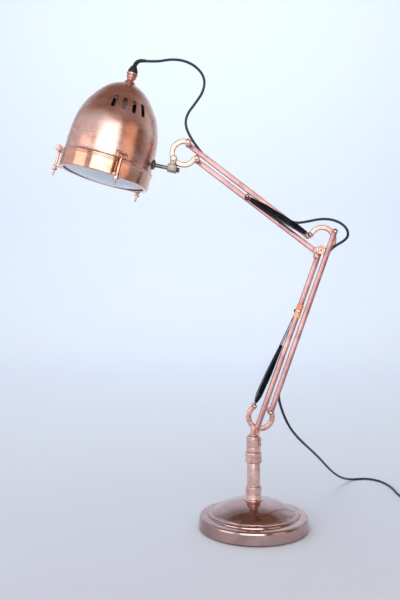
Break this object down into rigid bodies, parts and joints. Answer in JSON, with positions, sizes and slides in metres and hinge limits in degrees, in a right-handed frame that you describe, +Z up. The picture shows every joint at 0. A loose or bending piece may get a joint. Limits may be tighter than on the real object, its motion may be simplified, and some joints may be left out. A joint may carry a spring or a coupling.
{
  "type": "architect desk lamp",
  "caption": "Copper desk lamp: round weighted base, sprung parallelogram arms on crescent castings, domed shade with a clamped glass lens.",
  "frame": {"origin": "centre of the base's underside, on the desk", "axes": "+Z up along the post; the arms lie in the XZ plane, the elbow towards +X and the head towards -X; -Y is the near side with the lower arm's bars"},
  "size_m": [0.7657, 0.4218, 0.8579],
  "materials": {
    "base_copper": "satin aged copper",
    "cast_copper": "cast, copper plated and buffed",
    "bar_copper": "copper plated square bar",
    "bolt_copper": "turned, copper plated",
    "shade_copper": "spun copper, hand polished and aged",
    "nickel": "dull nickel plate",
    "spring_steel": "oil blackened spring wire",
    "zinc_steel": "zinc plated",
    "cast_iron": "rough cast",
    "felt": "pressed felt",
    "frosted_glass": "frosted pressed glass",
    "bulb_glass": "opal glass bulb",
    "white_enamel": "white enamel",
    "porcelain": "glazed porcelain",
    "black_rubber": "moulded rubber",
    "cord_black": "black flex jacket",
    "plug_black": "moulded black plug"
  },
  "bodies": {
    "root": {"felt_pad": "felt", "base_shell": "base_copper", "base_weight": "cast_iron", "base_nut": "zinc_steel", "post_tie_rod": "zinc_steel", "foot_collar": "base_copper", "post_tube": "base_copper", "upper_collar": "base_copper", "post_socket": "base_copper", "mains_lead": "cord_black", "cord_coil": "cord_black", "cord_tail": "cord_black", "plug": "plug_black"},
    "lock_lower": {"swivel_lock_lower": "bolt_copper"},
    "lock_upper": {"swivel_lock_upper": "bolt_copper"},
    "base_bracket": {"swivel_spigot": "base_copper", "base_crescent": "cast_copper", "base_bolts": "bolt_copper", "base_pivot_spacer": "bolt_copper", "lower_springs": "spring_steel"},
    "lower_main": {"lower_main_bar": "bar_copper", "spring_sleeve": "bar_copper", "lower_spring_pin": "bolt_copper"},
    "lower_link": {"lower_link_bar": "bar_copper", "lower_arm_cable": "cord_black", "lower_cable_clips": "zinc_steel"},
    "elbow_bracket": {"elbow_crescent": "cast_copper", "elbow_bolts": "bolt_copper", "elbow_spacers": "bolt_copper", "elbow_cord": "cord_black", "upper_springs": "spring_steel"},
    "elbow_lock": {"elbow_lock_knob": "bolt_copper"},
    "upper_low": {"upper_low_bar": "bar_copper", "upper_spring_pin": "bolt_copper"},
    "upper_top": {"upper_top_bar": "bar_copper", "upper_arm_cable": "cord_black", "upper_cable_clips": "zinc_steel"},
    "head_bracket": {"head_crescent": "cast_copper", "head_bolts": "bolt_copper", "tilt_bolt": "bolt_copper", "head_cord": "cord_black"},
    "knuckle": {"knuckle": "nickel"},
    "head": {"head_stud": "nickel", "stud_flange": "nickel", "stud_nut": "nickel", "shade": "shade_copper", "lens_ring": "shade_copper", "lens_gasket": "black_rubber", "lens_glass": "frosted_glass", "reflector": "white_enamel", "lampholder": "porcelain", "holder_bracket": "zinc_steel", "bulb": "bulb_glass", "cord_gland": "cast_copper", "strain_relief": "black_rubber", "clamp_brackets": "bolt_copper", "clamp_pins": "bolt_copper"},
    "clamp_1": {"swing_bolt_1": "bolt_copper"},
    "clamp_2": {"swing_bolt_2": "bolt_copper"},
    "clamp_3": {"swing_bolt_3": "bolt_copper"}
  },
  "joints": [
    {"name": "base_swivel", "type": "hinge", "parent": "root", "child": "base_bracket", "pos_m": [0, 0, 0.155], "axis": [0, 0, 1], "range_deg": [-170, 170], "deforming": ["mains_lead"]},
    {"name": "swivel_lock_lower_turn", "type": "hinge", "parent": "root", "child": "lock_lower", "pos_m": [0.0104, -0.00937, 0.1532], "axis": [0.7431, -0.6691, 0], "range_deg": [0, 360]},
    {"name": "swivel_lock_upper_turn", "type": "hinge", "parent": "root", "child": "lock_upper", "pos_m": [0.0104, -0.00937, 0.1614], "axis": [0.7431, -0.6691, 0], "range_deg": [0, 360]},
    {"name": "lower_arm_tilt", "type": "hinge", "parent": "base_bracket", "child": "lower_link", "pos_m": [0.0295, 0, 0.2135], "axis": [0, 1, 0], "range_deg": [-50, 5]},
    {"name": "lower_main_follow", "type": "hinge", "parent": "base_bracket", "child": "lower_main", "pos_m": [0.003, 0, 0.18], "axis": [0, 1, 0], "range_deg": [-50, 5], "deforming": ["lower_springs"]},
    {"name": "elbow_level", "type": "hinge", "parent": "lower_link", "child": "elbow_bracket", "pos_m": [0.14433, 0, 0.53777], "axis": [0, 1, 0], "range_deg": [-5, 50], "deforming": ["elbow_cord"]},
    {"name": "elbow_lock_turn", "type": "hinge", "parent": "elbow_bracket", "child": "elbow_lock", "pos_m": [0.11244, -0.0288, 0.49796], "axis": [-0.6496, 0, -0.7603], "range_deg": [0, 360]},
    {"name": "upper_arm_tilt", "type": "hinge", "parent": "elbow_bracket", "child": "upper_top", "pos_m": [0.10233, 0, 0.53347], "axis": [0, 1, 0], "range_deg": [-50, 7]},
    {"name": "upper_low_follow", "type": "hinge", "parent": "elbow_bracket", "child": "upper_low", "pos_m": [0.11783, 0, 0.50427], "axis": [0, 1, 0], "range_deg": [-50, 7], "deforming": ["upper_springs"]},
    {"name": "head_level", "type": "hinge", "parent": "upper_top", "child": "head_bracket", "pos_m": [-0.11931, 0, 0.70293], "axis": [0, 1, 0], "range_deg": [-7, 50], "deforming": ["head_cord"]},
    {"name": "head_tilt", "type": "hinge", "parent": "head_bracket", "child": "knuckle", "pos_m": [-0.1456, 0, 0.671], "axis": [0, 1, 0], "range_deg": [-6, 45]},
    {"name": "head_roll", "type": "hinge", "parent": "knuckle", "child": "head", "pos_m": [-0.14842, 0, 0.6542], "axis": [0.9763, 0, -0.2164], "range_deg": [-45, 45]},
    {"name": "clamp_1_swing", "type": "hinge", "parent": "head", "child": "clamp_1", "pos_m": [-0.22957, -0.08699, 0.65908], "axis": [-0.8875, -0.3907, 0.2444], "range_deg": [0, 100]},
    {"name": "clamp_2_swing", "type": "hinge", "parent": "head", "child": "clamp_2", "pos_m": [-0.21034, 0.07547, 0.65378], "axis": [0.77, -0.6018, -0.2121], "range_deg": [0, 100]},
    {"name": "clamp_3_swing", "type": "hinge", "parent": "head", "child": "clamp_3", "pos_m": [-0.3556, 0.01152, 0.6938], "axis": [0.1175, 0.9925, -0.0324], "range_deg": [0, 100]}
  ],
  "couplings": [
    {"joint": "lower_main_follow", "follows": "lower_arm_tilt", "ratio": 1},
    {"joint": "elbow_level", "follows": "lower_arm_tilt", "ratio": -1},
    {"joint": "upper_low_follow", "follows": "upper_arm_tilt", "ratio": 1},
    {"joint": "head_level", "follows": "upper_arm_tilt", "ratio": -1}
  ]
}
